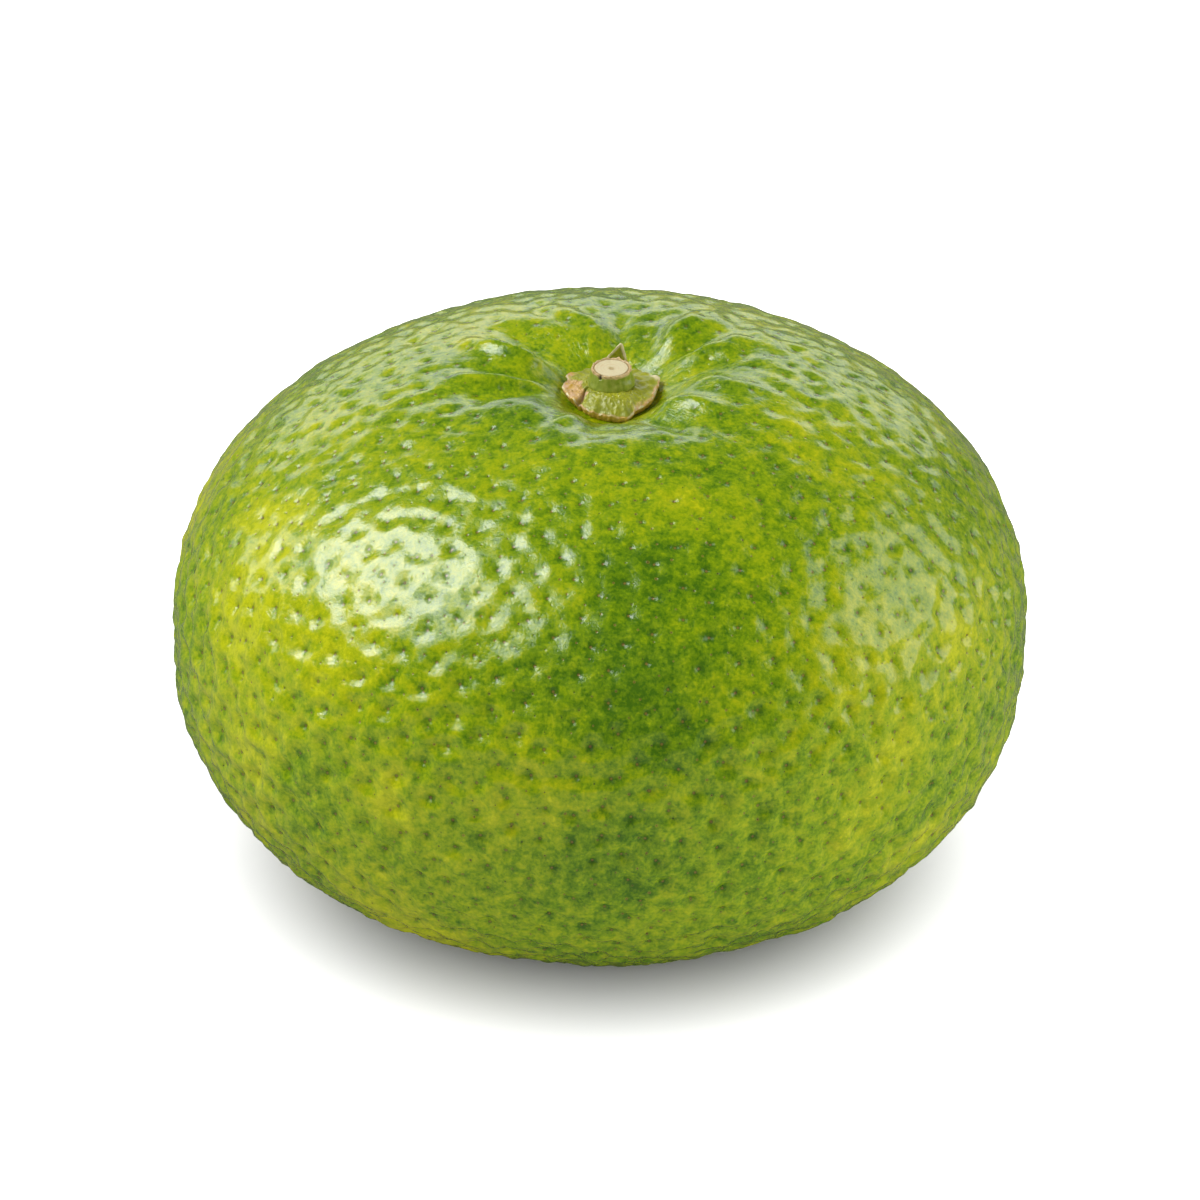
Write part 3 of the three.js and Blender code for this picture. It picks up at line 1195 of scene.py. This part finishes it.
        points = np.concatenate((top, np.array(side), np.array(under)))
        points[..., 0] += self.middle[0]
        points[..., 1] += self.middle[1]
        points[..., 2] += self.underside
        skin = Skin(points, False, False)
        self.tint(skin, angles, share, shade, len(side), len(under))
        return skin

    def tint(self, skin: Skin, angles: np.ndarray, share: np.ndarray, shade: np.ndarray,
             side_rows: int, under_rows: int) -> None:
        """Say where the star is dry, papery, pale with a painted highlight along its edge, shaded or on its
        torn side.

        Args:
            skin: The star's skin, which takes the masks.
            angles: The angle of each column, in degrees.
            share: How far out each place of the top is.
            shade: How deep in shade it lies.
            side_rows: How many rows follow the top down the torn edge.
            under_rows: How many rows follow those on the underside.
        """
        angle = np.repeat(angles[None, :], self.rows, axis=0)
        left = smoothstep(157.0, 168.0, angle) * smoothstep(221.0, 217.0, angle)
        curl = np.exp(-(degrees_apart(angle, 150.0) / 9.0) ** 2)
        right = np.exp(-(degrees_apart(angle, 350.0) / 24.0) ** 2)
        dryness = 0.12 + left * 0.75 * smoothstep(0.25, 0.55, share)
        dryness += curl * 0.6 * smoothstep(0.6, 0.9, share)
        dryness += right * 0.6 * smoothstep(0.75, 1.0, share)
        dryness += np.exp(-(degrees_apart(angle, 312.0) / 22.0) ** 2) * 0.35 * smoothstep(0.5, 0.95, share)
        dryness += smoothstep(0.93, 0.99, share) * 0.55
        paper = np.exp(-(degrees_apart(angle, 24.0) / 9.0) ** 2) * smoothstep(0.72, 0.9, share)
        paper = np.maximum(paper, np.exp(-(degrees_apart(angle, 301.0) / 2.0) ** 2)
                           * smoothstep(0.7, 0.95, share) * 0.7)
        # A pale frayed line along the star's edge, in the paper colour: partly a dry edge, partly a painted
        # highlight
        turns = np.radians(angles)
        fray = Ripple(0.6, 81).at(np.stack((np.cos(turns), np.sin(turns), turns * 0.0), axis=-1) * 3.5)
        rim = smoothstep(0.94, 0.975, share) * np.clip(fray * 1.3 + 0.35, 0.0, 0.85)
        paper = np.maximum(paper, rim)
        extra = side_rows + under_rows

        def extended(values: np.ndarray, beyond: float) -> np.ndarray:
            """Give the rows past the top one value."""
            return np.concatenate((values, np.full((extra, self.columns), beyond)))

        skin.masks["dryness"] = extended(dryness, 0.9)
        skin.masks["paper"] = extended(paper, 0.0)
        skin.masks["shade"] = extended(shade * 0.55, 0.0)
        side = np.zeros((self.rows + extra, self.columns))
        side[self.rows + 1:] = 0.75
        skin.masks["side"] = side

    def upright(self) -> Skin:
        """Make the pointed sepal that stands up behind the stem."""
        rows, columns = 56, 64
        turns = np.linspace(0.0, 2.0 * math.pi, columns, endpoint=False)
        points = np.empty((rows, columns, 3))
        rim = np.empty((rows, columns))
        speck = np.empty((rows, columns))
        for row, step in enumerate(np.linspace(0.0, 1.0, rows)):
            half = (1.68 * (1.0 - step) + 0.12) * (1.0 if step < 0.97 else 0.8)
            thick = 0.15 * (1.0 - 0.45 * step)
            across = np.cos(turns)
            edge = smoothstep(1.0 - 0.40 / half, 1.0 - 0.12 / half, np.abs(across))
            depth = np.sin(turns) * thick * (0.75 + 0.45 * edge)
            hollow = 0.16 * (1.0 - across ** 2) * (1.0 - step) + 0.05 * math.sin(step * 9.0) * across
            points[row, :, 0] = across * half + 0.80 * step
            points[row, :, 1] = depth + hollow + 0.38 * step + 0.10 * math.sin(step * 3.0)
            points[row, :, 2] = 2.72 * step - 0.15 * (1.0 - step)
            rim[row] = np.maximum(edge, smoothstep(0.86, 0.97, step))
            speck[row] = smoothstep(0.15, 0.5, across) * (1.0 - edge) * smoothstep(0.3, 0.5, step)
        points += Ripple(0.35, 61).at(points)[..., None] * np.array((0.018, 0.03, 0.012))
        points[..., 0] += self.middle[0] - 0.08
        points[..., 1] += self.middle[1] + 2.95
        points[..., 2] += self.underside + 0.12
        skin = Skin(points, True, True)
        skin.masks["dryness"] = 0.05 + rim * 0.5
        skin.masks["paper"] = rim * 0.75
        skin.masks["shade"] = speck * np.clip(Ripple(0.22, 62).at(points) * 1.6, 0.0, 0.8)
        skin.masks["side"] = np.zeros((rows, columns))
        return skin

    def build(self) -> bpy.types.Object:
        """Join the star and the upright sepal, and place them."""
        mesh = mesh_from("calyx_sepals", (self.star(), self.upright()))
        return make_piece("calyx_sepals", mesh, self.finish.dress(), "calyx")


class Layer(Enum):
    """The layers of a twig that its cut shows."""

    BARK = "bark"
    RIM = "rim"
    RING = "ring"
    WOOD = "wood"
    PITH = "pith"


@dataclass(frozen=True)
class Ring:
    """One ring of the stem's section, counted up from the section's base."""

    out: float
    up: float
    layer: Layer


@dataclass
class Stem:
    """The cut stub of stem in the calyx's eye."""

    middle: tuple[float, float] = (STEM_OFFSET, 0.0)
    height: float = 1.36  # of the cut face above the section's base
    columns: int = 320
    tilt: float = 3.0  # degrees that the cut face leans towards the front
    nick_angle: float = 236.0
    section: tuple[Ring, ...] = (
        Ring(1.30, -0.60, Layer.BARK),
        Ring(1.56, -0.22, Layer.BARK),
        Ring(1.72, -0.05, Layer.BARK),
        Ring(1.79, 0.08, Layer.BARK),
        Ring(1.79, 0.24, Layer.BARK),
        Ring(1.73, 0.44, Layer.BARK),
        Ring(1.65, 0.66, Layer.BARK),
        Ring(1.58, 0.88, Layer.BARK),
        Ring(1.53, 1.10, Layer.BARK),
        Ring(1.51, 1.22, Layer.BARK),
        Ring(1.515, 1.31, Layer.RIM),
        Ring(1.49, 1.37, Layer.RIM),
        Ring(1.44, 1.40, Layer.RIM),
        Ring(1.39, 1.39, Layer.RIM),
        Ring(1.34, 1.33, Layer.RING),
        Ring(1.28, 1.33, Layer.RING),
        Ring(1.23, 1.36, Layer.WOOD),
        Ring(0.80, 1.36, Layer.WOOD),
        Ring(0.40, 1.34, Layer.WOOD),
        Ring(0.24, 1.32, Layer.WOOD),
        Ring(0.17, 1.27, Layer.PITH),
        Ring(0.06, 1.25, Layer.PITH),
    )
    finish: CutTwig = field(default_factory=CutTwig)

    def build(self) -> bpy.types.Object:
        """Turn the section, roughen it and place it."""
        steps = 5
        known = np.arange(len(self.section))
        fine = np.linspace(0, len(self.section) - 1, (len(self.section) - 1) * steps + 1)
        out = np.interp(fine, known, [ring.out for ring in self.section])
        up = np.interp(fine, known, [ring.up for ring in self.section])
        turns = np.linspace(0.0, 2.0 * math.pi, self.columns, endpoint=False)
        angle = np.degrees(turns)
        points = np.empty((len(fine), self.columns, 3))
        points[..., 0] = out[:, None] * np.cos(turns)
        points[..., 1] = out[:, None] * np.sin(turns)
        points[..., 2] = up[:, None]
        masks = {layer.value: np.interp(fine, known, [float(ring.layer is layer) for ring in self.section])
                 for layer in (Layer.RIM, Layer.RING, Layer.WOOD, Layer.PITH)}
        masks["wood"] = np.maximum(masks["wood"], np.maximum(masks["pith"], masks["ring"]))
        spread = {kind: np.repeat(value[:, None], self.columns, axis=1) for kind, value in masks.items()}
        ragged = Ripple(0.45, 71).at(points)
        fray = Ripple(0.16, 72).at(points)
        points[..., 2] += spread["rim"] * (ragged * 0.05 + fray * 0.02)
        swell = 1.0 + spread["rim"] * (ragged * 0.022 + fray * 0.008)
        swell += (1.0 - spread["wood"] - spread["rim"]).clip(0, 1) * Ripple(0.8, 73).at(points) * 0.012
        points[..., :2] *= swell[..., None]
        points[..., 2] += spread["wood"] * (Ripple(0.3, 74).at(points) * 0.012)
        nick = np.exp(-(degrees_apart(angle, self.nick_angle) / 5.0) ** 2)
        tall = np.repeat(up[:, None], self.columns, axis=1)
        wide = np.repeat(out[:, None], self.columns, axis=1)
        bite = nick * smoothstep(0.95, 1.23, tall) * smoothstep(1.30, 1.40, wide)
        points[..., :2] *= (1.0 - bite * 0.10)[..., None]
        points[..., 2] -= bite * 0.16
        lean = math.radians(self.tilt) * smoothstep(0.5, 1.3, tall)
        points[..., 2] += points[..., 1] * lean
        contact = smoothstep(0.10, -0.05, tall) * (1.0 - spread["wood"])
        spread["shade"] = np.maximum(bite, contact * 0.85)
        bark_top = smoothstep(1.14, 1.24, tall + ragged * 0.05) * (wide > 1.36)
        spread["rim"] = np.maximum(spread["rim"], bark_top) * (1.0 - spread["ring"])
        points[..., 0] += self.middle[0]
        points[..., 1] += self.middle[1]
        points[..., 2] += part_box("stem_stub")[1].z / METRES - self.height
        skin = Skin(points, True, True)
        skin.masks.update(spread)
        mesh = mesh_from("cut_stem", (skin,))
        return make_piece("cut_stem", mesh, self.finish.dress(), "stem_stub")


# ---------------------------------------------------------------------------------------------
# The studio
# ---------------------------------------------------------------------------------------------


@dataclass(frozen=True)
class SoftBox:
    """A square soft light that faces the fruit."""

    name: str
    azimuth: float  # degrees from the camera's side, to the right
    elevation: float
    distance: float
    width: float
    height: float
    power: float
    floor_only: bool = False  # lights the floor but not the fruit, which still shades it
    matt_only: bool = False  # never seen mirrored in the peel
    gleam_only: bool = False  # only seen mirrored in the peel


@dataclass
class Studio:
    """A pale floor, an even pale surround, soft lights and the camera."""

    camera_elevation: float = 28.0
    camera_distance: float = 0.5
    aim_height: float = 0.02327
    lens: float = 195.75
    sensor: float = 36.0
    floor_size: float = 6.0
    floor_white: float = 0.5
    floor_bounce: float = 0.24  # how white the floor is to the light that it throws back at the fruit
    floor_gleam: float = 0.045  # and how white it is where the peel mirrors it
    surround: float = 0.17
    surround_calm: float = 0.5  # how much of the surround the peel leaves out when it mirrors it
    lights: tuple[SoftBox, ...] = (
        SoftBox("key_light", -93.0, 49.5, 0.45, 0.26, 0.26, 1.9),
        SoftBox("edge_light", -58.0, 40.0, 0.45, 0.10, 0.10, 0.13, gleam_only=True),
        SoftBox("near_light", -46.0, 56.0, 0.45, 0.11, 0.11, 0.24, gleam_only=True),
        SoftBox("high_light", -86.0, 69.0, 0.45, 0.11, 0.11, 0.20, gleam_only=True),
        SoftBox("low_light", -112.0, 20.0, 0.45, 0.10, 0.16, 0.16, gleam_only=True),
        SoftBox("fill_light", 97.0, 24.0, 0.60, 0.42, 0.42, 1.1),
        SoftBox("side_light", 82.0, 12.0, 0.90, 0.6, 0.6, 3.5, matt_only=True),
        SoftBox("back_light", 180.0, 17.0, 0.70, 0.95, 0.24, 1.0),
        SoftBox("front_light", 6.0, 38.0, 0.90, 0.8, 0.6, 1.6, matt_only=True),
        SoftBox("floor_light", 0.0, 72.0, 1.00, 2.6, 2.6, 153.0, floor_only=True),
    )

    def place_camera(self) -> None:
        """Set the camera at its angle, looking at the fruit's middle."""
        data = bpy.data.cameras.new("camera")
        data.lens = self.lens
        data.sensor_width = self.sensor
        data.clip_start = 0.01
        data.clip_end = 20.0
        camera = bpy.data.objects.new("camera", data)
        rise = math.radians(self.camera_elevation)
        away = Vector((0.0, -math.cos(rise), math.sin(rise))) * self.camera_distance
        camera.location = Vector((0.0, 0.0, self.aim_height)) + away
        camera.rotation_euler = (math.pi / 2.0 - rise, 0.0, 0.0)
        bpy.context.scene.collection.objects.link(camera)
        bpy.context.scene.camera = camera

    def place_light(self, box: SoftBox, floor: bpy.types.Object) -> None:
        """Hang one soft box, facing the fruit.

        Args:
            box: Its place, size and power.
            floor: The floor, which only some of the lights reach.
        """
        data = bpy.data.lights.new(box.name, "AREA")
        data.shape = "RECTANGLE"
        data.size = box.width
        data.size_y = box.height
        data.energy = box.power
        lamp = bpy.data.objects.new(box.name, data)
        turn, rise = math.radians(box.azimuth), math.radians(box.elevation)
        flat = math.cos(rise)
        heading = Vector((math.sin(turn) * flat, -math.cos(turn) * flat, math.sin(rise)))
        lamp.location = Vector((0.0, 0.0, self.aim_height)) + heading * box.distance
        lamp.rotation_euler = heading.to_track_quat("Z", "Y").to_euler()
        bpy.context.scene.collection.objects.link(lamp)
        lamp.visible_glossy = not box.matt_only
        lamp.visible_diffuse = not box.gleam_only
        lit = bpy.data.collections.new(box.name)
        lit.objects.link(floor)
        lamp.light_linking.receiver_collection = lit
        if not box.floor_only:
            lit.collection_objects[0].light_linking.link_state = "EXCLUDE"

    def lay_floor(self) -> bpy.types.Object:
        """Lay the floor, and return it."""
        half = self.floor_size / 2.0
        mesh = bpy.data.meshes.new("floor")
        mesh.from_pydata([(-half, -half, 0), (half, -half, 0), (half, half, 0), (-half, half, 0)], [],
                         [(0, 1, 2, 3)])
        material = bpy.data.materials.new("floor_white")
        material.use_nodes = True
        shader = material.node_tree.nodes["Principled BSDF"]
        bench = Bench(material.node_tree)
        seen = bench.field("ShaderNodeLightPath", out="Is Camera Ray")
        mirrored = bench.field("ShaderNodeLightPath", out="Is Glossy Ray")
        white = seen * (self.floor_white - self.floor_bounce) + self.floor_bounce
        white = white - mirrored * (self.floor_bounce - self.floor_gleam)
        bench.tree.links.new(white.socket, shader.inputs["Base Color"])
        shader.inputs["Roughness"].default_value = 0.9
        shader.inputs["Specular IOR Level"].default_value = 0.0
        mesh.materials.append(material)
        floor = bpy.data.objects.new("floor", mesh)
        bpy.context.scene.collection.objects.link(floor)
        return floor

    def light_surround(self) -> None:
        """Fill the surround with soft light that looks white behind the fruit."""
        world = bpy.data.worlds.new("surround")
        world.use_nodes = True
        tree = world.node_tree
        tree.nodes.clear()
        bench = Bench(tree)
        seen = bench.field("ShaderNodeLightPath", out="Is Camera Ray")
        heading = bench.field("ShaderNodeTexCoord", out="Generated")
        _, back, _ = bench.parts(heading)
        soft = bench.rise(back, -0.6, 0.9, self.surround * 0.75, self.surround * 1.15)
        mirrored = bench.field("ShaderNodeLightPath", out="Is Glossy Ray")
        soft = soft * (1.0 - mirrored * self.surround_calm)
        strength = soft * (1.0 - seen) + seen
        background = bench.lay("ShaderNodeBackground", {"Strength": strength})
        background.inputs["Color"].default_value = (1.0, 1.0, 1.0, 1.0)
        surface = bench.lay("ShaderNodeOutputWorld")
        tree.links.new(background.outputs[0], surface.inputs["Surface"])
        bpy.context.scene.world = world

    def build(self) -> None:
        """Set up everything that isn't the fruit."""
        self.place_camera()
        floor = self.lay_floor()
        self.light_surround()
        for box in self.lights:
            self.place_light(box, floor)
        bpy.context.scene.view_settings.view_transform = "Standard"
        bpy.context.scene.view_settings.look = "None"
        LOG.info("studio: %d lights", len(self.lights))


def main() -> None:
    """Build the studio, the fruit, its calyx and its stem, in that order."""
    logging.basicConfig(level=logging.INFO, format="%(name)s: %(message)s")
    Studio().build()
    Fruit().build()
    Calyx().build()
    Stem().build()


if __name__ == "__main__":
    main()
